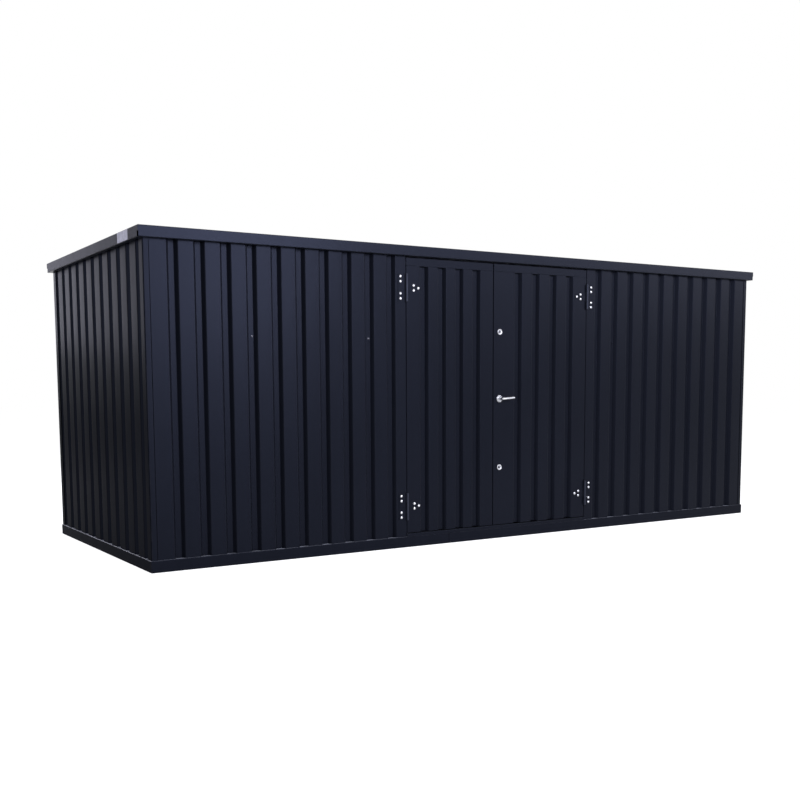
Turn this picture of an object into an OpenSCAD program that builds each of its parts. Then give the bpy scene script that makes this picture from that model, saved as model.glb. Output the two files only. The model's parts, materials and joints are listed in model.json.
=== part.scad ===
// Flat-packed steel storage container with a double door in its long side.
// X runs along the long side, the doors face -Y and Z is up. The origin is
// on the ground under the middle of the base. All sizes are in millimetres.

/* [Overall size] */
// Length over the base rails
body_l = 5540; // [4600:20:6700]
// Width over the base rails
body_w = 2170; // [1800:10:2620]
// Height from the ground to the top of the roof edge
body_h = 2150; // [1780:10:2600]

/* [Base] */
// Height of the base rails
rail_h = 78; // [60:1:110]
// Depth of the base rails' flanges
rail_d = 50; // [42:1:70]
// Plate thickness of the base rails
rail_t = 3; // [2:0.5:5]
// Distance of the front rail's splice to the left of the middle
splice_x = 479; // [200:1:800]
// Width of the open seam at the splice
splice_gap = 3; // [1:0.5:6]
// Height and length of the tongue behind the splice
splice_plate = [60, 200]; // [40:1:300]
// Number of floor joists
joist_count = 9; // [5:1:14]
// Width of a floor joist
joist_w = 50; // [30:1:80]
// Thickness of the floor boards
board_t = 21; // [15:1:30]
// Number of floor boards
board_count = 5; // [3:1:8]
// Seam between floor boards
board_seam = 2; // [1:0.5:5]

/* [Wall sheet] */
// Thickness of the ribbed wall sheet
sheet_t = 1.5; // [1:0.1:3]
// Width of a groove at the face of the sheet
groove_w = 74; // [60:1:90]
// Run of a groove's sloping side
groove_run = 18; // [10:1:25]
// Depth of a groove
groove_d = 29; // [18:1:40]
// Nearest pitch of the grooves in the front and back walls
front_pitch = 177; // [140:1:230]
// Nearest pitch of the grooves in the end walls
end_pitch = 196; // [140:1:230]
// Flat from the corner to the first groove of the front and back walls
front_flat = 160; // [120:1:200]
// Flat from the corner to the first groove of the end walls
end_flat = 69; // [60:1:110]
// Flat beside the doorway
doorway_flat = 86; // [80:1:140]

/* [Corner posts] */
// Setback of a corner post from the base rail's face
post_inset = 5; // [2:1:12]
// Plate thickness of a corner post
post_t = 2.5; // [2:0.5:5]
// Width of a corner post's front flange
post_front_w = 38; // [30:1:60]
// Width of a corner post's side flange
post_side_w = 68; // [40:1:75]

/* [Doorway] */
// Clear width between the walls at the doorway
doorway_w = 1716; // [1500:1:2000]
// Offset of the doorway's middle to the right
doorway_x = 9; // [-100:1:100]
// Height of the sill over the base rail
sill_h = 22; // [10:1:40]
// Plate thickness of the sill and the door head
sill_t = 3; // [2:0.5:5]
// Setback of the sill from the base rail's face
sill_inset = 2; // [0:1:10]
// Width of a door post
jamb_w = 60; // [40:1:75]
// Wall of the door posts' tube
jamb_t = 3; // [2:0.5:5]
// Reach of the door stop into the doorway
stop_w = 15; // [8:1:30]
// Plate thickness of the door stop
stop_t = 3; // [2:0.5:5]

/* [Door leaves] */
// Width of the left leaf
left_leaf_w = 773; // [650:1:930]
// Gap on the hinge side of a leaf
hinge_gap = 6; // [5:0.5:12]
// Gap between the two leaves
meeting_gap = 8; // [6:0.5:14]
// Gap under a leaf and behind it
leaf_gap = 5; // [5:0.5:12]
// Gap between a leaf's top and the roof edge
leaf_top_gap = 6; // [5:0.5:12]
// Height of the flat band along the top of a leaf
band_h = 59; // [40:1:90]
// Depth of a leaf's frame tubes behind the sheet
stile_d = 40; // [32:1:60]
// Width of a leaf's edge tubes
stile_w = 40; // [30:1:60]
// Width of the tube that holds the locks
lock_stile_w = 110; // [80:1:150]
// Height of a leaf's cross rails
leaf_rail_h = 50; // [30:1:80]
// Wall of the leaf frame's tubes
stile_t = 2; // [1.5:0.5:4]
// Number of cross rails between a leaf's top and bottom
leaf_rail_count = 3; // [2:1:5]
// Nearest pitch of the grooves in the left leaf
left_pitch = 156; // [120:1:200]
// Nearest pitch of the grooves in the right leaf
right_pitch = 172; // [120:1:200]
// Flat on the left leaf from its edges to the outer grooves
left_leaf_flat = 116.5; // [112:0.5:130]
// Flat on the right leaf beside its hinges
right_hinge_flat = 136; // [125:1:150]
// Flat on the right leaf that carries the locks
lock_flat = 198; // [160:1:230]

/* [Hinges] */
// Height of the upper hinges' middle under the roof's top
hinge_top = 290; // [200:1:400]
// Height of the lower hinges' middle over the ground
hinge_low = 298; // [230:1:400]
// Outer radius of a hinge's knuckles
knuckle_r = 9; // [8:0.5:12]
// Overall height of a hinge's knuckles
hinge_h = 190; // [150:1:240]
// Height of the knuckle on the door's side
door_knuckle_h = 76; // [60:1:100]
// Radius of the hinge pin
pin_r = 5; // [4:0.5:6]
// Radial clearance between pin and knuckle
pin_play = 0.1; // [0.05:0.01:0.2]
// Radius of the caps at the ends of the pin
pin_cap_r = 8; // [7:0.5:11]
// Height of the pin's caps
pin_cap_h = 3; // [2:0.5:5]
// Gap between neighbouring knuckles
knuckle_gap = 0.3; // [0.2:0.1:0.5]
// Plate thickness of the hinge leaves
hinge_t = 3; // [2:0.5:4]
// Width of the hinge leaf on the post, from the pin
post_leaf_w = 68; // [60:1:76]
// Reach of the hinge leaf on the door, from the pin to its round end
door_leaf_w = 119; // [90:1:124]
// Radius of the round end of the door's hinge leaf
door_leaf_r = 17; // [12:1:22]

/* [Lever and locks] */
// Distance of the locks from the leaf's free edge
backset = 55; // [45:1:80]
// Height of the lever's spindle
lever_z = 1066; // [900:1:1200]
// Radius of the lever's rose
rose_r = 27; // [22:1:34]
// Thickness of the lever's rose
rose_t = 8; // [5:0.5:12]
// Radius of the lever's neck
neck_r = 10; // [7:0.5:12]
// Radial clearance between neck and rose
neck_play = 0.1; // [0.05:0.01:0.2]
// Distance of the lever's grip from the leaf
grip_y = 50; // [40:1:60]
// Radius of the lever's grip
grip_r = 9.5; // [7:0.5:11]
// Length of the lever from its spindle to its tip
lever_l = 111; // [100:1:140]
// Angle of the lever's grip above level, at rest
lever_rise = 4; // [0:1:10]
// Height of the upper lock
upper_lock_z = 1567; // [1400:1:1700]
// Height of the lower lock
lower_lock_z = 545; // [400:1:700]
// Radius of a lock's rosette
lock_r = 22; // [20:1:32]
// Thickness of a lock's rosette
lock_t = 8; // [5:0.5:12]
// Radius of a lock's key cylinder
key_r = 8.5; // [6:0.5:11]
// Distance that a key cylinder stands out of its rosette
key_out = 2; // [1:0.5:4]
// Width and height of a lock's keyhole
keyhole = [2, 9]; // [1:1:12]
// Chamfer of the rims of the rose and the rosettes
rim_chamfer = 2; // [0.5:0.5:4]

/* [Roof] */
// Overhang of the roof edge at the ends, past the base rails
over_end = 32; // [20:1:60]
// Overhang of the roof edge at the front and back, past the base rails
over_side = 30; // [20:1:60]
// Height of the roof edge
fascia_h = 71; // [60:1:110]
// Plate thickness of the roof edge
fascia_t = 2; // [1.5:0.5:4]
// Width of the roof edge's top flange
fascia_top_w = 62; // [50:1:100]
// Width of the open notch under each roof corner, on the front or back and on the end
notch_w = [4, 18]; // [4:1:24]
// Height of the open notch under each roof corner
notch_h = 33; // [20:1:45]
// Height of the ribs of the roof deck
deck_rib_h = 36; // [25:1:45]
// Width of a roof rib at its foot
deck_rib_w = 70; // [50:1:90]
// Run of a roof rib's sloping side
deck_rib_run = 17; // [10:1:25]
// Nearest pitch of the roof ribs
deck_pitch = 207; // [150:1:260]
// Flat from the roof edge's inner face to the first rib
deck_flat = 60; // [40:1:90]
// Width and height of the top rails and roof beams
top_rail = [40, 30]; // [20:1:60]
// Wall of the top rails' and beams' tube
top_rail_t = 2; // [1.5:0.5:4]
// Number of roof beams
beam_count = 5; // [2:1:8]
// Length and height of the plate on the roof edge
plate_size = [210, 64]; // [40:1:260]
// Thickness of that plate
plate_t = 1; // [0.5:0.5:2]
// Distance of that plate's middle from the roof edge's front corner
plate_from_corner = 300; // [200:1:700]

/* [Hidden] */

// Facets of the round parts.
$fn = 48;

// Colours.
paint = [0.15, 0.16, 0.20];
dark_paint = [0.11, 0.12, 0.15];
galvanised = [0.62, 0.64, 0.66];
plywood = [0.55, 0.38, 0.24];
bright = [0.80, 0.81, 0.83];

// Past a cut's faces, so that it comes out clean.
over = 1;
// Seat between pieces that rest against each other side by side.
seat = 0.3;

half_l = body_l / 2;
half_w = body_w / 2;

// Faces of the posts, and the crowns of the wall sheets against their backs.
post_x = half_l - post_inset;
post_y = half_w - post_inset;
face_x = post_x - post_t;
face_y = post_y - post_t;
// Inner faces of the wall sheets.
inner_x = face_x - groove_d - sheet_t;
inner_y = face_y - groove_d - sheet_t;

// Ends of the long walls' sheets and of the end walls' sheets at the corners.
long_end_x = face_x - sheet_t - seat;
short_end_y = face_y - seat;

// Roof edge and the levels under it.
fascia_x = half_l + over_end;
fascia_y = half_w + over_side;
fascia_z = body_h - fascia_h;
deck_z = body_h - fascia_t - deck_rib_h;
top_rail_z = deck_z - top_rail[1];
wall_h = deck_z - rail_h;
joist_h = rail_h - board_t;

// Doorway and its two leaves.
doorway_x0 = doorway_x - doorway_w / 2;
doorway_x1 = doorway_x + doorway_w / 2;
right_leaf_w = doorway_w - left_leaf_w - 2 * hinge_gap - meeting_gap;
left_leaf_x0 = doorway_x0 + hinge_gap;
right_leaf_x1 = doorway_x1 - hinge_gap;
right_leaf_x0 = right_leaf_x1 - right_leaf_w;
leaf_z = rail_h + sill_h + leaf_gap;
leaf_h = fascia_z - leaf_top_gap - leaf_z;
leaf_sheet_h = leaf_h - band_h;
leaf_back = sheet_t + stile_d;
jamb_back = inner_y - top_rail[0];
jamb_d = face_y - sheet_t - jamb_back;

// Hinge pins stand in front of the gaps beside the leaves.
pin_left_x = doorway_x0 + hinge_gap / 2;
pin_right_x = doorway_x1 - hinge_gap / 2;
pin_out = knuckle_r + seat;
pin_y = face_y + pin_out;
hinge_upper_z = body_h - hinge_top;

lock_x = right_leaf_x0 + backset;

// ---- Ribbed sheet, drawn in plan with its face on y = 0 ----

// Starts of the grooves between a and b, spread evenly near a wanted pitch.
function groove_starts(a, b, width, goal) =
    let (steps = max(1, round((b - a - width) / goal)))
    [for (i = [0 : steps]) a + i * (b - a - width) / steps];

// Shift of a bend from one side of the sheet to the other.
function bend_shift(run, depth) = sheet_t * tan(atan2(depth, run) / 2);

// Outline of a sheet from x0 to x1, with grooves of a width, run and depth.
function sheet_outline(x0, x1, starts, width, run, depth) =
    let (k = bend_shift(run, depth), last = len(starts) - 1)
    concat(
        [[x0, 0]],
        [for (s = starts) each [
            [s, 0], [s + run, depth],
            [s + width - run, depth], [s + width, 0]]],
        [[x1, 0], [x1, sheet_t]],
        [for (i = [last : -1 : 0]) let (s = starts[i]) each [
            [s + width + k, sheet_t], [s + width - run + k, depth + sheet_t],
            [s + run - k, depth + sheet_t], [s - k, sheet_t]]],
        [[x0, sheet_t]]);

// Upright ribbed sheet from x0 to x1 with grooves from a to b.
module wall_sheet(x0, x1, a, b, goal, height) {
    starts = groove_starts(a, b, groove_w, goal);
    linear_extrude(height)
        polygon(sheet_outline(x0, x1, starts, groove_w, groove_run, groove_d));
}

// ---- Folded bars, along X with the outer face on y = 0 and z from 0 ----

// C-shaped bar from x0 to x1, open to +y. cut0 and cut1 are 1 for a mitred end.
module channel_bar(x0, x1, height, depth, t, cut0, cut1) {
    difference() {
        linear_extrude(height)
            polygon([[x0, 0], [x1, 0], [x1 - cut1 * depth, depth], [x0 + cut0 * depth, depth]]);
        translate([x0 - over, t, t])
            cube([x1 - x0 + 2 * over, depth, height - 2 * t]);
    }
}

// Rectangular tube along X, centred on x = 0.
module tube_x(length, width, height, t) {
    difference() {
        translate([-length / 2, 0, 0])
            cube([length, width, height]);
        translate([-length / 2 - over, t, t])
            cube([length + 2 * over, width - 2 * t, height - 2 * t]);
    }
}

// Rectangular tube along Y, centred on x = 0 and y = 0.
module tube_y(length, width, height, t) {
    translate([width / 2, 0, 0])
        rotate([0, 0, 90])
            tube_x(length, width, height, t);
}

// Upright rectangular tube from the origin, open at its ends.
module tube_z(width, depth, height, t) {
    difference() {
        cube([width, depth, height]);
        translate([t, t, -over])
            cube([width - 2 * t, depth - 2 * t, height + 2 * over]);
    }
}

// ---- Base ----

module base_rail(x0, x1, cut0, cut1) {
    color(paint)
        channel_bar(x0, x1, rail_h, rail_d, rail_t, cut0, cut1);
}

module base_rail_front_left() {
    translate([0, -half_w, 0])
        base_rail(-half_l, -splice_x - splice_gap / 2, 1, 0);
}

// Carries the tongue that joins the two front rails behind their seam.
module base_rail_front_right() {
    translate([0, -half_w, 0]) {
        base_rail(-splice_x + splice_gap / 2, half_l, 0, 1);
        color(paint)
            translate([-splice_x - splice_plate[1] / 2, rail_t, (rail_h - splice_plate[0]) / 2])
                cube([splice_plate[1], rail_t, splice_plate[0]]);
    }
}

module base_rail_back() {
    rotate([0, 0, 180])
        translate([0, -half_w, 0])
            base_rail(-half_l, half_l, 1, 1);
}

// side is -1 for the left end and 1 for the right end.
module base_rail_end(side) {
    rotate([0, 0, side * 90])
        translate([0, -half_l, 0])
            base_rail(-half_w, half_w, 1, 1);
}

module floor_joists() {
    reach = half_l - rail_d - joist_w;
    color(galvanised)
        for (i = [0 : joist_count - 1])
            translate([reach * (2 * i / (joist_count - 1) - 1), 0, 0])
                tube_y(body_w - 2 * rail_d, joist_w, joist_h, rail_t);
}

module floor_boards() {
    floor_l = body_l - 2 * (rail_d + seat);
    board_l = (floor_l - (board_count - 1) * board_seam) / board_count;
    board_w = body_w - 2 * (rail_d + seat);
    color(plywood)
        for (i = [0 : board_count - 1])
            translate([-floor_l / 2 + i * (board_l + board_seam), -board_w / 2, joist_h])
                cube([board_l, board_w, board_t]);
}

module door_sill() {
    sill_d = rail_d - sill_inset;
    color(paint)
        translate([doorway_x, -half_w + sill_inset, rail_h])
            difference() {
                translate([-doorway_w / 2, 0, 0])
                    cube([doorway_w, sill_d, sill_h]);
                translate([-doorway_w / 2 - over, sill_t, -over])
                    cube([doorway_w + 2 * over, sill_d - 2 * sill_t, sill_h - sill_t + over]);
            }
}

// ---- Posts and walls ----

// side is -1 at the left end and 1 at the right; front is -1 or 1 for the back.
module corner_post(side, front) {
    mirror([side > 0 ? 1 : 0, 0, 0])
        mirror([0, front > 0 ? 1 : 0, 0])
            color(paint)
                translate([-post_x, -post_y, rail_h]) {
                    cube([post_front_w, post_t, wall_h]);
                    cube([post_t, post_side_w, wall_h]);
                }
}

module front_sheet(x0, x1, a, b) {
    color(paint)
        translate([0, -face_y, rail_h])
            wall_sheet(x0, x1, a, b, front_pitch, wall_h);
}

module front_wall_left() {
    front_sheet(-long_end_x, doorway_x0, -half_l + front_flat, doorway_x0 - doorway_flat);
}

module front_wall_right() {
    front_sheet(doorway_x1, long_end_x, doorway_x1 + doorway_flat, half_l - front_flat);
}

// The back wall is two lengths of sheet that meet on a crown in the middle.
module back_wall_half() {
    middle_flat = (front_pitch - groove_w) / 2;
    rotate([0, 0, 180])
        front_sheet(-long_end_x, -seat / 2, -half_l + front_flat, -middle_flat);
}

module back_wall_right() {
    back_wall_half();
}

module back_wall_left() {
    mirror([1, 0, 0])
        back_wall_half();
}

// side is -1 for the left end and 1 for the right end.
module end_wall(side) {
    color(paint)
        rotate([0, 0, side * 90])
            translate([0, -face_x, rail_h])
                wall_sheet(-short_end_y, short_end_y,
                    -half_w + end_flat, half_w - end_flat, end_pitch, wall_h);
}

// ---- Doorway ----

// Tube beside the doorway, with the stop that the leaf shuts against.
module door_post() {
    color(paint)
        translate([0, -face_y + sheet_t, rail_h]) {
            translate([-jamb_w, 0, 0])
                tube_z(jamb_w, jamb_d, top_rail_z - rail_h, jamb_t);
            translate([-jamb_t, leaf_back - sheet_t + leaf_gap, sill_h])
                cube([jamb_t + stop_w, stop_t, top_rail_z - rail_h - sill_h]);
        }
}

module door_post_left() {
    translate([doorway_x0, 0, 0])
        door_post();
}

module door_post_right() {
    translate([doorway_x1, 0, 0])
        mirror([1, 0, 0])
            door_post();
}

// Closes the wall over the doorway, behind the roof edge.
module door_head() {
    color(paint)
        translate([doorway_x0, -face_y, fascia_z]) {
            cube([doorway_w, sill_t, deck_z - fascia_z]);
            translate([0, 0, deck_z - fascia_z - sill_t])
                cube([doorway_w, face_y - inner_y, sill_t]);
        }
}

// ---- Roof ----

module top_rails() {
    side_l = 2 * (inner_y - top_rail[0] - seat);
    color(galvanised)
        translate([0, 0, top_rail_z]) {
            for (s = [-1, 1])
                scale([1, s, 1])
                    translate([0, -inner_y, 0])
                        tube_x(2 * inner_x, top_rail[0], top_rail[1], top_rail_t);
            for (s = [-1, 1])
                translate([s * (inner_x - top_rail[0] / 2), 0, 0])
                    tube_y(side_l, top_rail[0], top_rail[1], top_rail_t);
        }
}

module roof_beams() {
    beam_l = 2 * (inner_y - top_rail[0] - seat);
    step = 2 * inner_x / (beam_count + 1);
    color(galvanised)
        for (i = [1 : beam_count])
            translate([-inner_x + i * step, 0, top_rail_z])
                tube_y(beam_l, top_rail[0], top_rail[1], top_rail_t);
}

// Ribbed deck on the top rails. Its ribs run across and meet the roof edge.
module roof_deck() {
    deck_x = fascia_x - fascia_t - seat;
    deck_y = fascia_y - fascia_t - seat;
    rib_d = deck_rib_h - sheet_t;
    starts = groove_starts(-deck_x + deck_flat, deck_x - deck_flat, deck_rib_w, deck_pitch);
    color(dark_paint)
        translate([0, deck_y, deck_z])
            rotate([90, 0, 0])
                linear_extrude(2 * deck_y)
                    polygon(sheet_outline(-deck_x, deck_x, starts, deck_rib_w, deck_rib_run, rib_d));
}

// Folded roof edge of a half length, with its outer face on y = 0 and a notch at each end.
module fascia(half_length, lip, end_w) {
    color(paint)
        difference() {
            channel_bar(-half_length, half_length, fascia_h, fascia_top_w, fascia_t, 1, 1);
            translate([-half_length - over, lip, -over])
                cube([2 * (half_length + over), fascia_top_w, fascia_t + 2 * over]);
            for (s = [-1, 1])
                translate([s * half_length - end_w, -over, -over])
                    cube([2 * end_w, end_w + over, notch_h + over]);
        }
}

module fascia_front() {
    translate([0, -fascia_y, fascia_z])
        fascia(fascia_x, fascia_y - post_y, notch_w[0]);
}

module fascia_back() {
    rotate([0, 0, 180])
        fascia_front();
}

module fascia_end(side) {
    rotate([0, 0, side * 90])
        translate([0, -fascia_x, fascia_z])
            fascia(fascia_y, fascia_x - post_x, notch_w[1]);
}

// Blank plate on the left roof edge.
module label_plate() {
    color(bright)
        translate([
            -fascia_x - plate_t,
            -fascia_y + plate_from_corner - plate_size[0] / 2,
            fascia_z + (fascia_h - plate_size[1]) / 2])
            cube([plate_t, plate_size[0], plate_size[1]]);
}

// ---- Door leaves ----

module leaf_sheet(x0, width, flat0, flat1, goal) {
    color(paint)
        translate([0, -face_y, leaf_z])
            wall_sheet(x0, x0 + width, x0 + flat0, x0 + width - flat1, goal, leaf_sheet_h);
}

// Frame of a leaf: edge tubes, a flat band over the sheet and cross rails.
module leaf_frame(x0, width, stile0, stile1) {
    rail_y = groove_d + sheet_t;
    rail_depth = leaf_back - rail_y;
    rail_step = (leaf_sheet_h - leaf_rail_h) / (leaf_rail_count + 1);
    color(dark_paint)
        translate([x0, -face_y, leaf_z]) {
            translate([0, sheet_t, 0])
                tube_z(stile0, stile_d, leaf_sheet_h, stile_t);
            translate([width - stile1, sheet_t, 0])
                tube_z(stile1, stile_d, leaf_sheet_h, stile_t);
            translate([width / 2, 0, leaf_sheet_h])
                tube_x(width, leaf_back, band_h, stile_t);
            for (i = [0 : leaf_rail_count])
                translate([stile0 - stile_t, rail_y, i * rail_step])
                    cube([width - stile0 - stile1 + 2 * stile_t, rail_depth, leaf_rail_h]);
        }
}

module left_door_sheet() {
    leaf_sheet(left_leaf_x0, left_leaf_w, left_leaf_flat, left_leaf_flat, left_pitch);
}

module left_door_frame() {
    leaf_frame(left_leaf_x0, left_leaf_w, stile_w, stile_w);
}

module right_door_sheet() {
    leaf_sheet(right_leaf_x0, right_leaf_w, lock_flat, right_hinge_flat, right_pitch);
}

module right_door_frame() {
    leaf_frame(right_leaf_x0, right_leaf_w, lock_stile_w, stile_w);
}

// ---- Hinges, drawn around a pin on the Z axis, with the post at -x ----

module knuckle(z0, height) {
    translate([0, 0, z0])
        cylinder(r = knuckle_r, h = height);
}

// Plate on the post with its two knuckles and the pin, capped at both ends.
module post_leaf() {
    half = hinge_h / 2;
    half_door = door_knuckle_h / 2 + knuckle_gap;
    color(dark_paint) {
        difference() {
            union() {
                translate([-post_leaf_w, pin_out - hinge_t, -half])
                    cube([post_leaf_w, hinge_t, hinge_h]);
                knuckle(-half, hinge_h);
            }
            translate([-knuckle_r - over, -knuckle_r - over, -half_door])
                cube([2 * (knuckle_r + over), 2 * (knuckle_r + over) + pin_out, 2 * half_door]);
        }
        translate([0, 0, -half])
            cylinder(r = pin_r, h = hinge_h);
        translate([0, 0, half])
            cylinder(r1 = pin_cap_r, r2 = pin_r, h = pin_cap_h);
        translate([0, 0, -half - pin_cap_h])
            cylinder(r1 = pin_r, r2 = pin_cap_r, h = pin_cap_h);
    }
}

// Plate on the door with its middle knuckle, tapered to a round end.
module door_leaf() {
    half = door_knuckle_h / 2;
    tip = door_leaf_w - door_leaf_r;
    color(dark_paint)
        difference() {
            union() {
                translate([0, pin_out, 0])
                    rotate([90, 0, 0])
                        linear_extrude(hinge_t) {
                            polygon([[0, -half], [tip, -door_leaf_r], [tip, door_leaf_r], [0, half]]);
                            translate([tip, 0])
                                circle(r = door_leaf_r);
                        }
                knuckle(-half, door_knuckle_h);
            }
            translate([0, 0, -half - over])
                cylinder(r = pin_r + pin_play, h = door_knuckle_h + 2 * over);
        }
}

// Puts a hinge part on the left pin, or turned over on the right pin.
module at_pin(side, z) {
    translate([side < 0 ? pin_left_x : pin_right_x, -pin_y, z])
        rotate([0, side > 0 ? 180 : 0, 0])
            children();
}

// ---- Lever and locks, drawn on the leaf's face with y towards the leaf ----

module at_lock(z) {
    translate([lock_x, -face_y, z])
        children();
}

// Round disc on the leaf's face, with a chamfered rim.
module disc(radius, thickness, chamfer) {
    rotate([90, 0, 0])
        rotate_extrude()
            polygon([[0, 0], [radius, 0], [radius, thickness - chamfer],
                [radius - chamfer, thickness], [0, thickness]]);
}

module handle_rose() {
    color(bright)
        at_lock(lever_z)
            difference() {
                disc(rose_r, rose_t, rim_chamfer);
                translate([0, over, 0])
                    rotate([90, 0, 0])
                        cylinder(r = neck_r + neck_play, h = rose_t + 2 * over);
            }
}

// Neck, rounded elbow and grip.
module lever_handle() {
    color(bright)
        at_lock(lever_z) {
            translate([0, -seat, 0])
                rotate([90, 0, 0])
                    cylinder(r = neck_r, h = grip_y - seat);
            translate([0, -grip_y, 0]) {
                sphere(r = neck_r);
                rotate([0, -lever_rise, 0]) {
                    rotate([0, 90, 0])
                        cylinder(r = grip_r, h = lever_l - grip_r);
                    translate([lever_l - grip_r, 0, 0])
                        sphere(r = grip_r);
                }
            }
        }
}

// Rosette with its key cylinder and keyhole.
module lock() {
    key_t = lock_t + key_out;
    color(bright)
        difference() {
            union() {
                disc(lock_r, lock_t, rim_chamfer);
                disc(key_r, key_t, key_out / 2);
            }
            translate([-keyhole[0] / 2, -key_t - over, -keyhole[1] / 2])
                cube([keyhole[0], key_t, keyhole[1]]);
        }
}

// ---- The parts ----

base_rail_front_left();
base_rail_front_right();
base_rail_back();
base_rail_end(-1);  // base_rail_left
base_rail_end(1);  // base_rail_right
floor_joists();
floor_boards();
door_sill();
corner_post(-1, -1);  // corner_post_front_left
corner_post(1, -1);  // corner_post_front_right
corner_post(-1, 1);  // corner_post_back_left
corner_post(1, 1);  // corner_post_back_right
front_wall_left();
front_wall_right();
back_wall_left();
back_wall_right();
end_wall(-1);  // left_wall
end_wall(1);  // right_wall
door_post_left();
door_post_right();
door_head();
top_rails();
roof_beams();
roof_deck();
fascia_front();
fascia_back();
fascia_end(-1);  // fascia_left
fascia_end(1);  // fascia_right
label_plate();
left_door_sheet();
left_door_frame();
right_door_sheet();
right_door_frame();
at_pin(-1, hinge_upper_z) post_leaf();  // hinge_upper_left_post_leaf
at_pin(-1, hinge_low) post_leaf();  // hinge_lower_left_post_leaf
at_pin(1, hinge_upper_z) post_leaf();  // hinge_upper_right_post_leaf
at_pin(1, hinge_low) post_leaf();  // hinge_lower_right_post_leaf
at_pin(-1, hinge_upper_z) door_leaf();  // hinge_upper_left_door_leaf
at_pin(-1, hinge_low) door_leaf();  // hinge_lower_left_door_leaf
at_pin(1, hinge_upper_z) door_leaf();  // hinge_upper_right_door_leaf
at_pin(1, hinge_low) door_leaf();  // hinge_lower_right_door_leaf
lever_handle();
handle_rose();
at_lock(upper_lock_z) lock();  // upper_lock
at_lock(lower_lock_z) lock();  // lower_lock
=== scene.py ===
"""Storage container with a double door: the looks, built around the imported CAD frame.

Metres, in the frame's own axes: X along the long side, doors facing -Y, Z up.
"""

import json
import math

import bmesh
import bpy
from mathutils import Matrix, Vector, noise

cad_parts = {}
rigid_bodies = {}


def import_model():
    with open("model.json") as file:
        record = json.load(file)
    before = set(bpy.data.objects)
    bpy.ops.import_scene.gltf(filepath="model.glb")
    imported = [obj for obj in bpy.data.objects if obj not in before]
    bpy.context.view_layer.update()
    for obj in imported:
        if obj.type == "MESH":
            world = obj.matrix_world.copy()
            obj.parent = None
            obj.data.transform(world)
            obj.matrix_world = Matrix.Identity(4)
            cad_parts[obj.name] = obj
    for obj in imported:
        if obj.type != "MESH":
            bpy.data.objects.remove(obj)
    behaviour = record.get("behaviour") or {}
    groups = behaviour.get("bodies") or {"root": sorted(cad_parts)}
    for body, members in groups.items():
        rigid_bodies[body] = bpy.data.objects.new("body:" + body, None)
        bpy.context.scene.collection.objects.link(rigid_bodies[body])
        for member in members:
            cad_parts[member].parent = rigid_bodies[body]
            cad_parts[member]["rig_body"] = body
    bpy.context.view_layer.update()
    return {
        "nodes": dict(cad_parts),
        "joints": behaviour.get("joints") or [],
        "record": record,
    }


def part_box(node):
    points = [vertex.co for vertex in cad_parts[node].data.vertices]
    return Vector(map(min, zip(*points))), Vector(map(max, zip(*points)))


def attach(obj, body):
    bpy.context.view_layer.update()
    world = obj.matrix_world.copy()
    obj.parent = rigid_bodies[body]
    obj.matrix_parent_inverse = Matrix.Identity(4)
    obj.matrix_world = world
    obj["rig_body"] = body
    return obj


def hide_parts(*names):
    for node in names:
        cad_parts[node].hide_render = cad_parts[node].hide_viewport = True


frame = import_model()

SLOT_OF = {row["node"]: row["material_slot"] for row in frame["record"]["subparts"]}
PIN = {joint["child"]: Vector(joint["pos_m"]) for joint in frame["joints"]}
MM = 0.001
# Turns a part drawn with z out of a wall towards the front, or towards the left end.
TO_FRONT = Matrix.Rotation(math.radians(90), 4, "X")
TO_LEFT = Matrix.Rotation(math.radians(-90), 4, "Y")


# ---- Materials ----

class Shader:
    """A material around one Principled shader, with its nodes added by name."""

    def __init__(self, name, **fixed):
        self.material = bpy.data.materials.new(name)
        self.material.use_nodes = True
        self.tree = self.material.node_tree
        self.surface = self.tree.nodes["Principled BSDF"]
        self.place = self.add("TexCoord", {}, "Object")
        self.wire(self.surface, {k.replace("_", " "): v for k, v in fixed.items()})

    def wire(self, node, inputs):
        for key, value in inputs.items():
            if isinstance(value, bpy.types.NodeSocket):
                self.tree.links.new(value, node.inputs[key])
            else:
                node.inputs[key].default_value = value

    def add(self, kind, inputs, output=0, **settings):
        node = self.tree.nodes.new("ShaderNode" + kind)
        for key, value in settings.items():
            setattr(node, key, value)
        self.wire(node, inputs)
        return node.outputs[output]

    def math(self, operation, a, b=0.0):
        return self.add("Math", {0: a, 1: b}, operation=operation)

    def noise(self, scale, detail=3.0):
        """Noise with features about 1/scale metres long on each axis, from 0 to 1."""
        place = self.add("VectorMath", {0: self.place, 1: scale}, operation="MULTIPLY")
        return self.add("TexNoise", {"Vector": place, "Scale": 1.0, "Detail": detail})

    def step(self, value, low, high):
        """0 below low, 1 above high and smooth between them."""
        inputs = {"Value": value, "From Min": low, "From Max": high}
        return self.add("MapRange", inputs, interpolation_type="SMOOTHSTEP")

    def mix(self, share, a, b):
        return self.add("Mix", {0: share, 6: a, 7: b}, 2, data_type="RGBA")

    def tint(self, colour, amount):
        """A colour made lighter and darker by a value around 1."""
        start = colour[:3] if isinstance(colour, tuple) else colour
        return self.add("VectorMath", {0: start, "Scale": amount}, operation="SCALE")

    def sum(self, *terms):
        total = terms[0]
        for term in terms[1:]:
            total = self.math("ADD", total, term)
        return total

    def bump(self, height, distance, strength=1.0, under=None):
        inputs = {"Height": height, "Distance": distance, "Strength": strength}
        if under is not None:
            inputs["Normal"] = under
        return self.add("Bump", inputs)


def rgb(red, green, blue):
    return (red, green, blue, 1.0)


DUST = rgb(0.100, 0.102, 0.108)


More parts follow.
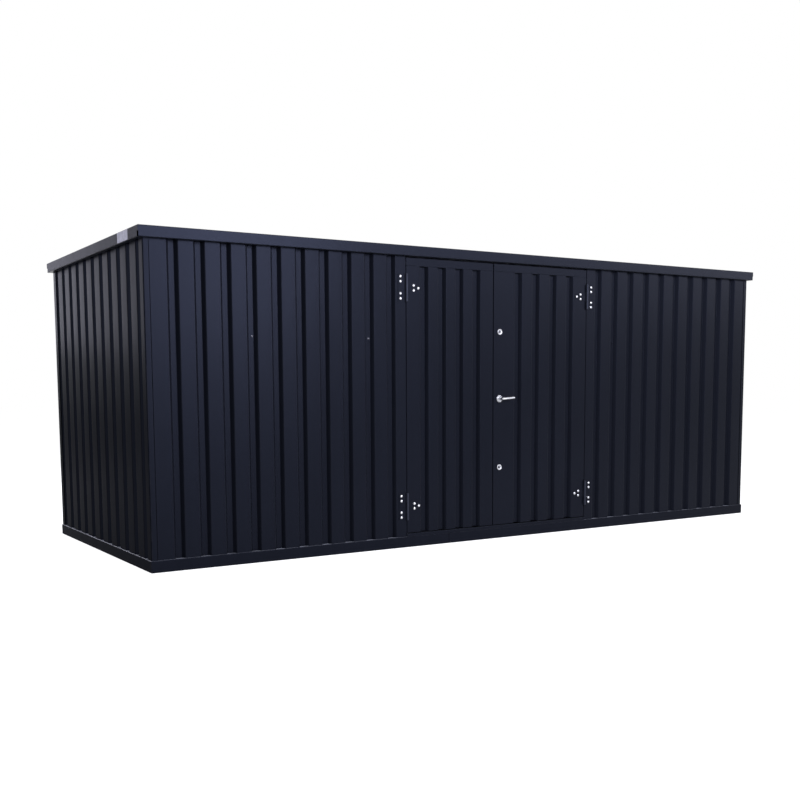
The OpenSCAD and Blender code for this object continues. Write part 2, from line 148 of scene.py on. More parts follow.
def paint(name, colour, roughness, specular, tint, splash=0.004, top_dust_and_highlight=0.25, rub=0.04,
          dust_and_highlight_tone=DUST):
    """Satin powder coat: faint clouds and runs, orange peel, dust and rubbed folds; where
    asked, a pale painted highlight on the tops, and a gloss tinted as a painted sky
    reflection.
    """
    # The gloss takes the tint, a painted blue sky reflection.
    s = Shader(name, Specular_IOR_Level=specular, Specular_Tint=tint)
    cloud = s.noise((1.7, 1.7, 1.1), 4.0)
    runs = s.noise((16.0, 16.0, 0.8), 3.0)
    grain = s.noise((240.0, 240.0, 240.0), 2.0)
    shade = s.sum(0.70, s.math("MULTIPLY", cloud, 0.26), s.math("MULTIPLY", runs, 0.22),
                  s.math("MULTIPLY", grain, 0.12))
    # Dust lies on what faces up and splashes up from the ground. A strong pale share on the
    # tops, as on the rails, is a painted highlight.
    normal = s.add("SeparateXYZ", {0: s.add("NewGeometry", {}, "Normal")}, 2)
    height = s.add("SeparateXYZ", {0: s.place}, 2)
    drift = s.noise((2.2, 2.2, 2.2), 6.0)
    patch = s.step(drift, -0.10, 0.95)
    on_top = s.math("MULTIPLY", s.step(normal, 0.90, 0.99), patch)
    low = s.math("MULTIPLY", s.step(height, 0.95, 0.05), patch)
    dust_and_highlight = s.sum(s.math("MULTIPLY", on_top, top_dust_and_highlight), s.math("MULTIPLY", low, splash))
    worn = s.add("Attribute", {}, "Fac", attribute_name="wear", attribute_type="GEOMETRY")
    rubbed = s.math("MULTIPLY", worn, s.step(s.noise((22.0, 22.0, 9.0), 5.0), 0.42, 0.66))
    colour = s.tint(colour, shade)
    colour = s.mix(s.math("MULTIPLY", rubbed, rub), colour, rgb(0.13, 0.135, 0.15))
    colour = s.mix(dust_and_highlight, colour, dust_and_highlight_tone)
    peel = s.bump(s.noise((420.0, 420.0, 420.0), 1.0), 0.00006)
    wave = s.bump(s.noise((7.0, 7.0, 3.0), 2.0), 0.0012, under=peel)
    s.wire(s.surface, {
        "Base Color": colour,
        "Roughness": s.sum(roughness - 0.04, s.math("MULTIPLY", cloud, 0.08),
                           s.math("MULTIPLY", dust_and_highlight, 0.35)),
        "Normal": wave,
    })
    return s.material


def galvanised(name):
    """Hot-dip zinc: crystal spangles of slightly different grey, with dull patches."""
    s = Shader(name, Metallic=0.85)
    cell = s.add("VectorMath", {0: s.place, 1: (70.0, 70.0, 70.0)}, operation="MULTIPLY")
    spangle = s.add("TexVoronoi", {"Vector": cell, "Scale": 1.0}, "Color")
    spangle = s.add("SeparateColor", {0: spangle}, 0)
    dull = s.step(s.noise((3.0, 3.0, 3.0), 4.0), 0.42, 0.68)
    shade = s.sum(0.78, s.math("MULTIPLY", spangle, 0.3), s.math("MULTIPLY", dull, -0.12))
    s.wire(s.surface, {
        "Base Color": s.tint(rgb(0.50, 0.52, 0.53), shade),
        "Roughness": s.sum(0.34, s.math("MULTIPLY", spangle, 0.1),
                           s.math("MULTIPLY", dull, 0.18)),
        "Normal": s.bump(spangle, 0.00008),
    })
    return s.material


def plywood(name):
    """Sheet of plywood: grain along X, growth bands, knots of darker tone, scuffs."""
    s = Shader(name, Specular_IOR_Level=0.35)
    bands = s.noise((1.6, 26.0, 26.0), 3.0)
    fibre = s.noise((9.0, 420.0, 420.0), 2.0)
    patch = s.noise((1.1, 2.3, 2.3), 3.0)
    scuff = s.step(s.noise((4.0, 5.0, 5.0), 6.0), 0.52, 0.7)
    tone = s.mix(s.step(bands, 0.35, 0.65), rgb(0.40, 0.26, 0.15), rgb(0.29, 0.175, 0.095))
    shade = s.sum(0.72, s.math("MULTIPLY", fibre, 0.26), s.math("MULTIPLY", patch, 0.3))
    tone = s.mix(s.math("MULTIPLY", scuff, 0.3), s.tint(tone, shade), rgb(0.36, 0.31, 0.26))
    s.wire(s.surface, {
        "Base Color": tone,
        "Roughness": s.sum(0.52, s.math("MULTIPLY", scuff, 0.2)),
        "Normal": s.bump(fibre, 0.0003),
    })
    return s.material


def plate_metal(name):
    """Blank aluminium plate, cloudy and slightly scratched from weather."""
    s = Shader(name, Specular_IOR_Level=0.0015)
    cloud = s.noise((34.0, 34.0, 34.0), 5.0)
    brush = s.noise((900.0, 14.0, 900.0), 2.0)
    shade = s.sum(0.45, s.math("MULTIPLY", cloud, 0.8), s.math("MULTIPLY", brush, 0.3))
    s.wire(s.surface, {
        "Base Color": s.tint(rgb(0.44, 0.44, 0.51), shade),
        "Roughness": s.sum(0.36, s.math("MULTIPLY", cloud, 0.2)),
        "Normal": s.bump(brush, 0.00005),
    })
    return s.material


def bright_metal(name, colour, roughness):
    """Plated metal with fine polishing marks and faint clouds."""
    s = Shader(name, Metallic=1.0)
    cloud = s.noise((60.0, 60.0, 60.0), 4.0)
    marks = s.noise((700.0, 700.0, 90.0), 2.0)
    shade = s.sum(0.9, s.math("MULTIPLY", cloud, 0.14), s.math("MULTIPLY", marks, 0.06))
    s.wire(s.surface, {
        "Base Color": s.tint(colour, shade),
        "Roughness": s.sum(roughness, s.math("MULTIPLY", cloud, 0.1)),
        "Normal": s.bump(marks, 0.00002),
    })
    return s.material


SHEET = rgb(0.0048, 0.0056, 0.0088)
# Tint of every paint's gloss: a painted blue sky reflection.
SKY_SHEEN_TINT = rgb(0.60, 0.68, 1.0)
# How strongly the paint reflects on each part, fitted to how the part looks from the camera.
FRONT_SHINE = 0.062
END_SHINE = 0.00125
ROOF_SHINE = 0.0015
ROOF_EDGE_SHINE = 0.09
RAIL_SHINE = 0.05
KNUCKLE_SHINE = 0.13
FRONT_PAINT = paint("sheet_paint", SHEET, 0.30, FRONT_SHINE, SKY_SHEEN_TINT, rub=0.01)
END_PAINT = paint("end_sheet_paint", SHEET, 0.30, END_SHINE, SKY_SHEEN_TINT, rub=0.01)
MATERIALS = {
    "wall_paint": FRONT_PAINT,
    "frame_paint": paint("folded_paint", SHEET, 0.32, FRONT_SHINE, SKY_SHEEN_TINT, top_dust_and_highlight=0.10),
    "door_frame_paint": paint("door_frame_paint", SHEET, 0.32, FRONT_SHINE, SKY_SHEEN_TINT),
    "roof_paint": paint("roof_paint", SHEET, 0.42, ROOF_SHINE, SKY_SHEEN_TINT, top_dust_and_highlight=0.16),
    "hinge_paint": paint("hinge_paint", SHEET, 0.32, FRONT_SHINE, SKY_SHEEN_TINT),
    "galvanised_steel": galvanised("zinc"),
    "plywood": plywood("plywood"),
    "plate_metal": plate_metal("plate"),
    "bright_metal": bright_metal("bright_metal", rgb(0.42, 0.425, 0.45), 0.20),
}
DULL_METAL = bright_metal("dull_metal", rgb(0.10, 0.10, 0.115), 0.35)
# A lighter copy of the sheet paint for the hinge barrels: a painted highlight along each
# knuckle.
KNUCKLE_HIGHLIGHT_PAINT = paint("knuckle_painted_highlight", rgb(0.018, 0.020, 0.028), 0.34, KNUCKLE_SHINE,
                      SKY_SHEEN_TINT)
# Paints of the nodes whose name starts with this word.
OWN_PAINT = {
    # The rails' up-facing ledges take a pale blue tone almost all over: a painted sky
    # highlight, partly settled dirt.
    "base": paint("rail_paint_painted_ledge_highlight", SHEET, 0.32, RAIL_SHINE, SKY_SHEEN_TINT, top_dust_and_highlight=1.5,
                  dust_and_highlight_tone=rgb(0.18, 0.19, 0.225)),
    "fascia": paint("roof_edge_paint", SHEET, 0.32, ROOF_EDGE_SHINE, SKY_SHEEN_TINT, top_dust_and_highlight=0.10),
}


# ---- Pieces ----

def finish_piece(name, bm, body, slot, nodes=(), material=None, second=None, sharp=40.0):
    """Makes a piece of a bmesh: it rides on a body and may stand for CAD nodes.

    second is another material with a test for the faces that carry it.
    """
    bmesh.ops.recalc_face_normals(bm, faces=bm.faces)
    mesh = bpy.data.meshes.new(name)
    bm.to_mesh(mesh)
    bm.free()
    mesh.materials.append(material or MATERIALS[slot])
    if second:
        mesh.materials.append(second[0])
        for face in mesh.polygons:
            face.material_index = int(second[1](face))
    mesh.shade_smooth()
    mesh.set_sharp_from_angle(angle=math.radians(sharp))
    piece = bpy.data.objects.new(name, mesh)
    bpy.context.scene.collection.objects.link(piece)
    piece.modifiers.new("flat_faces", "WEIGHTED_NORMAL").keep_sharp = True
    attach(piece, body)
    if nodes:
        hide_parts(*nodes)
    return piece


def faces_an_end(face):
    return abs(face.normal.x) > 0.7


def replace_node(node, bm, second=None):
    """Makes the piece that stands for one CAD node, on that node's body."""
    body, slot = frame["nodes"][node]["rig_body"], SLOT_OF[node]
    if slot == "frame_paint" or node in ("left_wall", "right_wall"):
        second = (END_PAINT, faces_an_end)
    own = OWN_PAINT.get(node.split("_")[0])
    return finish_piece(f"{node}_detailed", bm, body, slot, [node], own, second)


def circle(radius, height, points=32):
    turn = 2 * math.pi / points
    return [(radius * math.cos(i * turn), radius * math.sin(i * turn), height)
            for i in range(points)]


def loft(bm, rings, place=Matrix(), bored=False):
    """Skins rings of equal counts. The ends are capped, or a bored one is joined up."""
    rows = [[bm.verts.new(place @ Vector(p)) for p in ring] for ring in rings]
    pairs = list(zip(rows, rows[1:] + (rows[:1] if bored else [])))
    faces = [bm.faces.new((a[i - 1], a[i], b[i], b[i - 1]))
             for a, b in pairs for i in range(len(a))]
    if not bored:
        faces += [bm.faces.new(rows[0][::-1]), bm.faces.new(rows[-1])]
    return faces


def lathe(bm, profile, place=Matrix(), points=32, bored=False):
    """Turns a profile of (radius, height) in millimetres around z."""
    rings = [circle(r * MM, h * MM, points) for r, h in profile]
    return loft(bm, rings, place, bored)


def rounded(points, left, right, steps):
    """A run of points with an arc at each bend, and which stretches are arcs.

    A bend to the left has the radius left, and one to the right has the radius right.
    """
    run, arcs = [points[0]], []
    for before, here, after in zip(points, points[1:], points[2:]):
        come, go = (here - before).normalized(), (after - here).normalized()
        turn = math.atan2(come.x * go.y - come.y * go.x, come.dot(go))
        radius = left if turn > 0 else right
        side = Vector((-come.y, come.x)) * math.copysign(1.0, turn)
        start = here - come * radius * math.tan(abs(turn) / 2)
        centre = start + side * radius
        arcs.append(False)
        for k in range(steps + 1):
            run.append(centre + Matrix.Rotation(turn * k / steps, 2) @ (start - centre))
        arcs += [True] * steps
    return run + [points[-1]], arcs + [False]


def rounded_loop(points, radius, steps=4):
    """A closed outline, given anticlockwise, with the same arc at every corner."""
    middle = (points[0] + points[-1]) / 2
    run, _ = rounded([middle, *points, middle], radius, radius, steps)
    return run[1:-1]


def inset(outline, distance):
    """A closed outline, given anticlockwise, moved inwards by a distance."""
    moved = []
    for before, here, after in zip(outline[-1:] + outline, outline, outline[1:] + outline[:1]):
        come, go = (here - before).normalized(), (after - here).normalized()
        side = Vector((-come.y - go.y, come.x + go.x))
        moved.append(here + side * distance / (1.0 + come.dot(go)))
    return moved


def plate(bm, outline, thickness, place, rim):
    """A flat plate over an outline in the xy plane, with eased rims."""
    wear = bm.faces.layers.float.get("wear") or bm.faces.layers.float.new("wear")
    rings = [[(p.x, p.y, z) for p in inset(outline, back)] for back, z in
             ((rim, 0.0), (0.0, rim), (0.0, thickness - rim), (rim, thickness))]
    faces = loft(bm, rings, place)
    count = len(outline)
    for face in faces[:count] + faces[2 * count:3 * count]:
        face[wear] = 1.0


# ---- Ribbed and folded sheets, drawn again from their CAD outlines ----

def cap_outline(node, axis):
    """The outline of a prism's lower end, anticlockwise, on the other two axes."""
    mesh, low = frame["nodes"][node].data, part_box(node)[0][axis]
    u, v = [i for i in range(3) if i != axis]
    after = {}
    for face in mesh.polygons:
        corners = [mesh.vertices[i].co for i in face.vertices]
        if max(c[axis] for c in corners) - low > 1e-5:
            continue
        keys = [(round(c[u], 6), round(c[v], 6)) for c in corners]
        for a, b in zip(keys, keys[1:] + keys[:1]):
            if after.get(b, {}).pop(a, None) is None:
                after.setdefault(a, {})[b] = True
    start = here = next(a for a in after if after[a])
    outline = []
    while True:
        outline.append(Vector(here))
        here = next(iter(after[here]))
        if here == start:
            break
    area = sum(a.x * b.y - a.y * b.x for a, b in zip(outline, outline[1:] + outline[:1]))
    return outline if area > 0 else outline[::-1]


def sheet_sides(node, axis):
    """The fold points on the two sides of a sheet, paired, and its thickness."""
    loop = cap_outline(node, axis)
    count = len(loop)
    length = [(loop[(i + 1) % count] - loop[i]).length for i in range(count)]
    first, second = sorted(sorted(range(count), key=lambda i: length[i])[:2])
    one = loop[first + 1:second + 1]
    other = (loop[second + 1:] + loop[:first + 1])[::-1]
    return one, other, length[first]


def sheet_piece(node, axis, inward, rows=14, wave=0.0008, bend=0.005):
    """A folded sheet with round bends and the faint waves of thin rolled steel."""
    one, other, thick = sheet_sides(node, axis)
    one, arcs = rounded(one, bend + thick, bend, 3)
    other, _ = rounded(other, bend, bend + thick, 3)
    low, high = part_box(node)
    u, v = [i for i in range(3) if i != axis]
    bm = bmesh.new()
    wear = bm.faces.layers.float.new("wear")
    grid = []
    for j in range(rows + 1):
        along = low[axis] + (high[axis] - low[axis]) * j / rows
        still = math.sin(math.pi * j / rows)
        line = []
        for side in (one, other):
            for p in side:
                co = Vector((0.0, 0.0, 0.0))
                co[u], co[v], co[axis] = p.x, p.y, along
                at = Vector((one[0].x * 7.0, co[u] * 2.6 + co[v] * 2.6, along * 1.9))
                co += inward * wave * still * (0.5 + 0.5 * noise.noise(at))
                line.append(bm.verts.new(co))
        grid.append((line[:len(one)], line[len(one):]))
    for i, arc in enumerate(arcs):
        for (a, b), (c, d) in zip(grid, grid[1:]):
            for p, q in ((a, c), (b, d)):
                bm.faces.new((p[i], p[i + 1], q[i + 1], q[i]))[wear] = float(arc)
        for a, b in (grid[0], grid[-1]):
            bm.faces.new((a[i], a[i + 1], b[i + 1], b[i]))
    for i in (0, -1):
        for (a, b), (c, d) in zip(grid, grid[1:]):
            bm.faces.new((a[i], b[i], d[i], c[i]))
    return replace_node(node, bm)


def across(face, edge):
    """How far a face reaches from one of its edges."""
    start = edge.verts[0].co
    along = (edge.verts[1].co - start).normalized()
    return max((v.co - start - (v.co - start).dot(along) * along).length
               for v in face.verts)


def softened(node, fold=0.0045, rim=0.0005, long_fold=0.5, wide_fold=0.008):
    """A folded CAD node again, its long folds rounded and its other rims eased."""
    bm = bmesh.new()
    bm.from_mesh(frame["nodes"][node].data)
    bmesh.ops.remove_doubles(bm, verts=bm.verts, dist=1e-5)
    bmesh.ops.dissolve_limit(bm, angle_limit=math.radians(1), verts=bm.verts, edges=bm.edges)
    wear = bm.faces.layers.float.new("wear")

    def outer(edge, most=math.pi):
        return edge.is_manifold and math.radians(30) < edge.calc_face_angle_signed() < most

    def bent(edge):
        return (outer(edge, math.radians(100)) and edge.calc_length() > long_fold
                and min(across(f, edge) for f in edge.link_faces) > wide_fold)

    for radius, steps, wanted in ((fold, 4, bent), (rim, 2, outer)):
        edges = [e for e in bm.edges if wanted(e) and e.calc_length() > 3 * rim]
        if radius > 0 and edges:
            worn = bmesh.ops.bevel(bm, geom=edges, offset=radius, segments=steps,
                                   profile=0.5, affect="EDGES", clamp_overlap=False)
            for face in worn["faces"]:
                face[wear] = 1.0
    bmesh.ops.dissolve_degenerate(bm, dist=1e-6, edges=bm.edges)
    return bm


FRONTWARD = Vector((0.0, 1.0, 0.0))
ENDWARD = Vector((1.0, 0.0, 0.0))
END_BEND = 0.009
for node in ("front_wall_left", "front_wall_right", "left_door_sheet", "right_door_sheet"):
    sheet_piece(node, 2, FRONTWARD)
for node in ("back_wall_left", "back_wall_right"):
    sheet_piece(node, 2, -FRONTWARD)
sheet_piece("left_wall", 2, ENDWARD, bend=END_BEND)
sheet_piece("right_wall", 2, -ENDWARD, bend=END_BEND)
sheet_piece("roof_deck", 1, Vector((0.0, 0.0, -1.0)), rows=8)
for node in SLOT_OF:
    if node.startswith("corner_post"):
        sheet_piece(node, 2, Vector((0.0, 0.0, 0.0)), rows=2)
    elif node.startswith(("base_rail", "fascia", "door_", "top_rails", "roof_beams",
                          "floor_joists", "left_door_frame", "right_door_frame")):
        replace_node(node, softened(node))
    elif node == "floor_boards":
        replace_node(node, softened(node, fold=0.0, rim=0.0012))


# ---- Hinges, drawn around the pin in millimetres, with the door at +x ----

FACE_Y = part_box("right_door_sheet")[0].y
DOME_HEAD = [(0.5, 0), (10.2, 0), (10.4, 0.5), (10.2, 1.2), (9.2, 2.2), (7.6, 3.3),
             (5.4, 4.2), (2.8, 4.75), (0.8, 4.9)]
KNUCKLE = 9.0
BORE = 5.1
LEAF_THICK = 3.0 * MM
LEAF_RIM = 0.4 * MM
# Half the height of the door leaf's gap in the post leaf.
GAP_HALF = 38.3
POST_BOLTS = [(-47.5, z) for z in (-77.5, -42.3, 42.3, 77.5)]
DOOR_BOLTS = [(64, -17.6), (64, 17.6), (102.5, 0)]


def knuckle(bm, place, low, high, bored):
    """A hinge knuckle with eased ends."""
    inner = BORE if bored else 0.6
    lathe(bm, [(inner, low), (KNUCKLE - 0.7, low), (KNUCKLE, low + 0.7),
               (KNUCKLE, high - 0.7), (KNUCKLE - 0.7, high), (inner, high)],
          place, 40, bored)


def in_plane(points):
    return [Vector((x * MM, y * MM)) for x, y in points]


def hinge(height, side):
    """One hinge: its two leaves and their bolts. side is left or right."""
    post, door = f"hinge_{height}_{side}_post_leaf", f"hinge_{height}_{side}_door_leaf"
    low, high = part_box(post)
    half, cut = (high.z - low.z) / 2 / MM - 3.0, GAP_HALF
    hand = 1.0 if side == "left" else -1.0
    pin = PIN[f"{side}_door"].copy()
    pin.z = (low.z + high.z) / 2
    handed = Matrix.Diagonal((hand, 1, 1, 1))
    upright = Matrix.Translation(pin) @ handed
    back = FACE_Y - pin.y
    plane = Matrix.Translation(pin + Vector((0, back, 0))) @ handed @ TO_FRONT

    bm = bmesh.new()
    outline = in_plane([(-68, -half), (-2, -half), (-2, -cut), (-KNUCKLE - 1, -cut),
                        (-KNUCKLE - 1, cut), (-2, cut), (-2, half), (-68, half)])
    plate(bm, rounded_loop(outline, 1.4 * MM), LEAF_THICK, plane, LEAF_RIM)
    flat = len(bm.faces)
    for base, top in ((-half, -cut), (cut, half)):
        knuckle(bm, upright, base, top, False)
    lathe(bm, [(0.6, -half - 3), (5, -half - 3), (7.4, -half - 2), (8, -half - 0.6),
               (7.8, -half), (5, -half), (5, half), (7.8, half), (8, half + 0.6),
               (7.4, half + 2), (5, half + 3), (0.6, half + 3)], upright)
    # The knuckle faces take the lighter paint, a painted highlight.
    replace_node(post, bm, (KNUCKLE_HIGHLIGHT_PAINT, lambda face, flat=flat: face.index >= flat))

    bm = bmesh.new()
    tip, round_end, tall = 102.0, 17.0, cut - 0.3
    lean = math.asin((tall - round_end) / math.hypot(tip, tall - round_end)) * 0.5
    arc = [(tip + round_end * math.sin(t), -round_end * math.cos(t))
           for t in (lean + (math.pi - 2 * lean) * k / 16 for k in range(17))]
    outline = in_plane([(2, -tall), *arc, (2, tall)])
    plate(bm, outline, LEAF_THICK, plane, LEAF_RIM)
    flat = len(bm.faces)
    knuckle(bm, upright, -tall, tall, True)
    # The knuckle faces take the lighter paint, a painted highlight.
    replace_node(door, bm, (KNUCKLE_HIGHLIGHT_PAINT, lambda face, flat=flat: face.index >= flat))

    for body, places in (("container", POST_BOLTS), (f"{side}_door", DOOR_BOLTS)):
        bm = bmesh.new()
        for x, z in places:
            seat = plane @ Matrix.Translation((x * MM, z * MM, LEAF_THICK))
            lathe(bm, DOME_HEAD, seat, 24)
        finish_piece(f"bolts_{height}_{side}_{body}", bm, body, "bright_metal")


for height in ("upper", "lower"):
    for side in ("left", "right"):
        hinge(height, side)


# ---- Lever, rose and locks ----

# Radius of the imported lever's grip, and how far the bar stands out of the face.
LEVER_GRIP = 9.5 * MM
LEVER_OUT = 50 * MM
LEVER_TAPER = 0.6 * MM


def ellipse(centre, across_axis, wide, tall, points=28):
    """A ring round a point, wide along one level axis and tall along z."""
    turn = 2 * math.pi / points
    return [centre + across_axis * wide * math.cos(i * turn)
            + Vector((0, 0, tall * math.sin(i * turn))) for i in range(points)]


def lever():
    """A round bar out of the rose, bent sideways and slimmer towards its round end."""
    hub = PIN["lever"]
    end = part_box("lever_handle")[1] - hub - Vector((LEVER_GRIP, 0, LEVER_GRIP))
    rise, reach = math.atan2(end.z, end.x), math.hypot(end.x, end.z) + LEVER_GRIP
    seat = Matrix.Translation(hub) @ Matrix.Rotation(-rise, 4, "Y")
    out, radius, bend = LEVER_OUT, 9.9 * MM, 13 * MM
    path = [(Vector((0, -0.0004, 0)), Vector((0, -1, 0)), radius)]
    path.append((Vector((0, -(out - bend), 0)), Vector((0, -1, 0)), radius))
    for k in range(1, 9):
        a = math.pi / 2 * k / 8
        at = Vector((bend - bend * math.cos(a), -(out - bend) - bend * math.sin(a), 0))
        path.append((at, Vector((math.sin(a), -math.cos(a), 0)), radius - 0.4 * MM * k / 8))
    tip = LEVER_GRIP - LEVER_TAPER
    for k in range(1, 7):
        x = bend + (reach - tip - bend) * k / 6
        path.append((Vector((x, -out, 0)), Vector((1, 0, 0)),
                     LEVER_GRIP - LEVER_TAPER * k / 6))
    for k in range(1, 7):
        a = math.pi / 2 * k / 6
        at = Vector((reach - tip + tip * math.sin(a), -out, 0))
        path.append((at, Vector((1, 0, 0)), max(tip * math.cos(a), 0.3 * MM)))
    rings = []
    for at, along, r in path:
        rings.append(ellipse(at, Vector((along.y, -along.x, 0)), r, r))
    bm = bmesh.new()
    loft(bm, rings, seat)
    replace_node("lever_handle", bm)


def rose():
    place = Matrix.Translation(PIN["lever"]) @ TO_FRONT
    bm = bmesh.new()
    lathe(bm, [(10.1, 0), (27, 0), (27, 4.4), (26.4, 5.6), (25, 6.3), (23.2, 6.3),
               (22, 5.4), (19, 5.0), (16.5, 5.2), (15.2, 6.2), (14.8, 7.4), (14.2, 8),
               (10.1, 8)], place, 56, bored=True)
    replace_node("handle_rose", bm)


def lock(node):
    """A turned rosette around a key cylinder with a real keyhole."""
    low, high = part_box(node)
    centre = (low + high) / 2
    place = Matrix.Translation((centre.x, FACE_Y, centre.z)) @ TO_FRONT
    bm = bmesh.new()
    lathe(bm, [(9, 0), (22, 0), (22, 4.8), (21.4, 6.6), (20.1, 7.8), (18.2, 8), (16.6, 7.4),
               (15.4, 6), (12.4, 5.2), (9, 5.2)], place, 48, bored=True)
    replace_node(node, bm)

    bm = bmesh.new()
    points, hole = 48, (1.1 * MM, 4.5 * MM)
    slot_ring = []
    for x, y, _ in circle(1.0, 0.0, points):
        reach = min(hole[0] / max(abs(x), 1e-9), hole[1] / max(abs(y), 1e-9))
        slot_ring.append((x * reach, y * reach))
    rings = [circle(r * MM, h * MM, points) for r, h in
             ((0.5, 0.2), (8.5, 0.2), (8.5, 9.2), (8.1, 9.8), (7.3, 10.0), (6.2, 10.0))]
    rings += [[(x, y, h * MM) for x, y in slot_ring] for h in (10.0, 4.0)]
    loft(bm, rings, place)
    finish_piece(f"{node}_cylinder", bm, "right_door", "bright_metal", material=DULL_METAL)


lever()
rose()
lock("upper_lock")
lock("lower_lock")


# ---- Blank plate on the left roof edge, with its four rivets ----

def label_plate():
    low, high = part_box("label_plate")
    middle = (low + high) / 2
    seat = Matrix.Translation((high.x, middle.y, middle.z)) @ TO_LEFT
    tall, wide = (high.z - low.z) / 2, (high.y - low.y) / 2
    bm = bmesh.new()
    corners = [Vector(p) for p in ((-tall, -wide), (tall, -wide), (tall, wide), (-tall, wide))]
    plate(bm, rounded_loop(corners, 0.004), 0.0006, seat, 0.0002)
    for z in (-1, 1):
        for y in (-1, 1):
            at = Matrix.Translation((z * (tall - 0.008), y * (wide - 0.008), 0.0006))
            lathe(bm, [(0.4, 0), (3.2, 0), (2.9, 0.25), (1.8, 0.38), (0.5, 0.4)],
                  seat @ at, 16)
    replace_node("label_plate", bm)


label_plate()


# ---- Dark beads beside the corner posts' flanges: painted shadow of the gaps there ----

# How far a post's flange stands in front of the sheet beside it.
POST_SKIN = 2.5 * MM
# Near black, darker than the sheets: painted shadow on the corner beads, and a dark filler in
# the back seam.
SEAM_FILL_AND_SHADOW_PAINT = paint("seam_filler_and_painted_shadow", rgb(0.0016, 0.0018, 0.0028), 0.6, 0.004, SKY_SHEEN_TINT)


def corner_shadow_beads():
    """A thin sunk bead on the sheets along each flange's free edge, near black: painted shadow
    of the gap beside the flange.
    """
    bm = bmesh.new()
    bead, deep = 5.0 * MM, 0.9 * MM
    for side in ("left", "right"):
        for front in ("front", "back"):
            low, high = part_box(f"corner_post_{front}_{side}")
            x_sign = -1.0 if side == "left" else 1.0
            y_sign = -1.0 if front == "front" else 1.0
            outer = Vector((low.x if side == "left" else high.x,
                            low.y if front == "front" else high.y))
            reach = high - low
            for along_x in (True, False):
                edge = outer.copy()
                if along_x:
                    edge.x -= x_sign * (reach.x + 0.2 * MM)
                    edge.y -= y_sign * POST_SKIN
                    out, run = Vector((0, y_sign)), Vector((-x_sign, 0))
                else:
                    edge.y -= y_sign * (reach.y + 0.2 * MM)
                    edge.x -= x_sign * POST_SKIN
                    out, run = Vector((x_sign, 0)), Vector((0, -y_sign))
                profile = [edge - out * 0.2 * MM, edge + out * deep,
                           edge + run * bead * 0.6 + out * deep * 0.8,
                           edge + run * bead - out * 0.2 * MM]
                loft(bm, [[(p.x, p.y, z) for p in profile] for z in (low.z + MM, high.z - MM)])
    finish_piece("corner_shadow_beads", bm, "container", "frame_paint", material=SEAM_FILL_AND_SHADOW_PAINT)


def back_seam():
    """The bead that fills the upright seam where the two back sheets meet."""
    low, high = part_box("back_wall_left")
    thick = sheet_sides("back_wall_left", 2)[2]
    half, skin = 2.5 * MM, 0.7 * MM
    inner, outer = high.y - thick - 1.6 * MM, high.y
    profile = [(-half, inner), (half, inner), (half, outer - skin), (half * 0.8, outer),
               (half * 0.4, outer + skin), (-half * 0.4, outer + skin), (-half * 0.8, outer),
               (-half, outer - skin)]
    bm = bmesh.new()
    loft(bm, [[(x, y, z) for x, y in profile] for z in (low.z + MM, high.z - MM)])
    finish_piece("back_seam_bead", bm, "container", "frame_paint", material=SEAM_FILL_AND_SHADOW_PAINT)


corner_shadow_beads()
back_seam()


# ---- Screws that hold the wall sheets, in the grooves they are seen in ----

def groove_middles(node):
    """The middles of a front sheet's grooves along x, and the grooves' depth in y."""
    one, other, thick = sheet_sides(node, 2)
    outer = one if one[0].y < other[0].y else other
    deep = max(p.y for p in outer)
    xs = [p.x for p in outer if deep - p.y < thick / 2]
    return [(a + b) / 2 for a, b in zip(xs[::2], xs[1::2])], deep


SCREW_PAINT = paint("screw_paint", SHEET, 0.45, END_SHINE, SKY_SHEEN_TINT)
SCREW_Z = 1.498
SCREW_ASIDE = 0.008


def wall_screws():
    head = [(0.4, 0), (6.0, 0), (6.0, 0.8), (4.4, 1.0), (4.2, 2.0), (3.2, 2.9), (1.6, 3.3),
            (0.4, 3.4)]
    for side, picks, coat in (("left", (3, 8), DULL_METAL), ("right", (1,), SCREW_PAINT)):
        middles, deep = groove_middles(f"front_wall_{side}")
        bm = bmesh.new()
        for i in picks:
            place = Matrix.Translation((middles[i] + SCREW_ASIDE, deep, SCREW_Z)) @ TO_FRONT
            lathe(bm, head, place, 20)
        finish_piece(f"wall_screws_{side}", bm, "container", "bright_metal", material=coat)


wall_screws()


# ---- Floor, light and camera ----

def light_path(tree, plain, seen):
    """A strength that is seen for what the camera and reflections see, else plain."""
    path = tree.nodes.new("ShaderNodeLightPath")
    share = None
    for ray in ("Is Camera Ray", "Is Glossy Ray", "Is Transmission Ray"):
        if share is None:
            share = path.outputs[ray]
            continue
        most = tree.nodes.new("ShaderNodeMath")
        most.operation = "MAXIMUM"
        tree.links.new(share, most.inputs[0])
        tree.links.new(path.outputs[ray], most.inputs[1])
        share = most.outputs[0]
    blend = tree.nodes.new("ShaderNodeMapRange")
    tree.links.new(share, blend.inputs["Value"])
    blend.inputs["To Min"].default_value = plain
    blend.inputs["To Max"].default_value = seen
    return blend.outputs[0]


WORLD_LIGHT = 0.35
FLOOR_SHADE = 0.6

world = bpy.data.worlds.new("studio")
bpy.context.scene.world = world
world.use_nodes = True
background = world.node_tree.nodes["Background"]
background.inputs["Color"].default_value = rgb(1.0, 1.0, 1.0)
world.node_tree.links.new(light_path(world.node_tree, WORLD_LIGHT, 1.0),
                          background.inputs["Strength"])


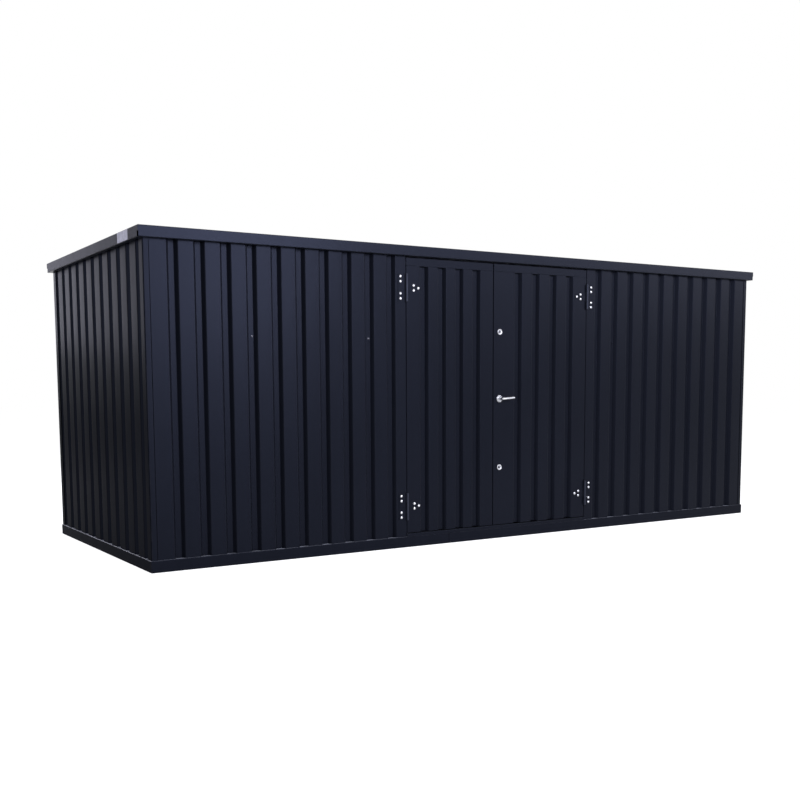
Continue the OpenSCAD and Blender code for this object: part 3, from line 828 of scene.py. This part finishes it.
def floor():
    """A wide pale floor, white to the eye, that keeps the shadow."""
    s = Shader("floor", Roughness=0.9, Specular_IOR_Level=0.0)
    cloud = s.noise((0.4, 0.4, 0.4), 2.0)
    s.wire(s.surface, {
        "Base Color": s.tint(rgb(FLOOR_SHADE, FLOOR_SHADE, FLOOR_SHADE),
                             s.sum(0.98, s.math("MULTIPLY", cloud, 0.04))),
        "Emission Color": rgb(1.0, 1.0, 1.0),
        "Emission Strength": light_path(s.tree, 0.0, 1.0 - FLOOR_SHADE * WORLD_LIGHT),
    })
    s.material.cycles.emission_sampling = "NONE"
    mesh = bpy.data.meshes.new("floor")
    size = 60.0
    mesh.from_pydata([(-size, -size, 0), (size, -size, 0), (size, size, 0), (-size, size, 0)],
                     [], [(0, 1, 2, 3)])
    mesh.materials.append(s.material)
    piece = bpy.data.objects.new("floor", mesh)
    bpy.context.scene.collection.objects.link(piece)


floor()


def lamp(name, place, target, wide, tall, radiance, colour):
    """A soft box that the camera doesn't see."""
    light = bpy.data.lights.new(name, "AREA")
    light.shape = "RECTANGLE"
    light.size, light.size_y = wide, tall
    light.energy = radiance * math.pi * wide * tall
    light.color = colour
    piece = bpy.data.objects.new(name, light)
    piece.location = place
    piece.rotation_euler = (Vector(target) - Vector(place)).to_track_quat("-Z", "Y").to_euler()
    piece.visible_camera = False
    bpy.context.scene.collection.objects.link(piece)


# Each lamp's place, what it faces, its width and height, its radiance and its colour.
lamp("key_lamp", (0.0, -7.4, 3.45), (-0.35, -6.4, 3.45), 3.0, 3.1, 15.0, (0.85, 0.86, 1.0))
lamp("low_lamp", (0.0, -7.4, 1.2), (-0.35, -6.4, 1.2), 3.0, 1.4, 4.0, (0.85, 0.86, 1.0))
lamp("fill_lamp", (6.75, -7.4, 3.85), (6.4, -6.4, 3.85), 10.5, 2.3, 5.0, (0.85, 0.86, 1.0))
lamp("back_lamp", (-5.2, 7.7, 3.3), (-4.9, 6.7, 3.3), 5.0, 3.0, 12.5, (0.84, 0.84, 1.0))
lamp("low_back_lamp", (-5.2, 7.7, 1.4), (-4.9, 6.7, 1.4), 5.0, 0.8, 1.5, (0.9, 0.95, 1.0))
lamp("left_lamp", (-10.0, -7.4, 3.4), (-9.4, -6.4, 3.4), 5.0, 2.6, 4.5, (0.84, 0.86, 1.0))
lamp("top_lamp", (0.0, 0.0, 8.0), (0.0, 0.0, 0.0), 8.0, 6.0, 2.4, (1.0, 1.0, 1.0))

CAMERA_PLACE = (-4.85602, -7.25082, 1.14929)
YAW, PITCH, ROLL = 1.0250324, -0.1026611, -0.0076567
camera_data = bpy.data.cameras.new("camera")
camera_data.sensor_width = 36.0
camera_data.lens = 46.0005
camera_data.shift_x, camera_data.shift_y = 0.02989, 0.11740
camera = bpy.data.objects.new("camera", camera_data)
heading = Vector((math.cos(YAW) * math.cos(PITCH), math.sin(YAW) * math.cos(PITCH),
                  math.sin(PITCH)))
camera.matrix_world = (Matrix.Translation(CAMERA_PLACE)
                       @ heading.to_track_quat("-Z", "Y").to_matrix().to_4x4()
                       @ Matrix.Rotation(ROLL, 4, "Z"))
bpy.context.scene.collection.objects.link(camera)
bpy.context.scene.camera = camera
bpy.context.scene.view_settings.view_transform = "Standard"
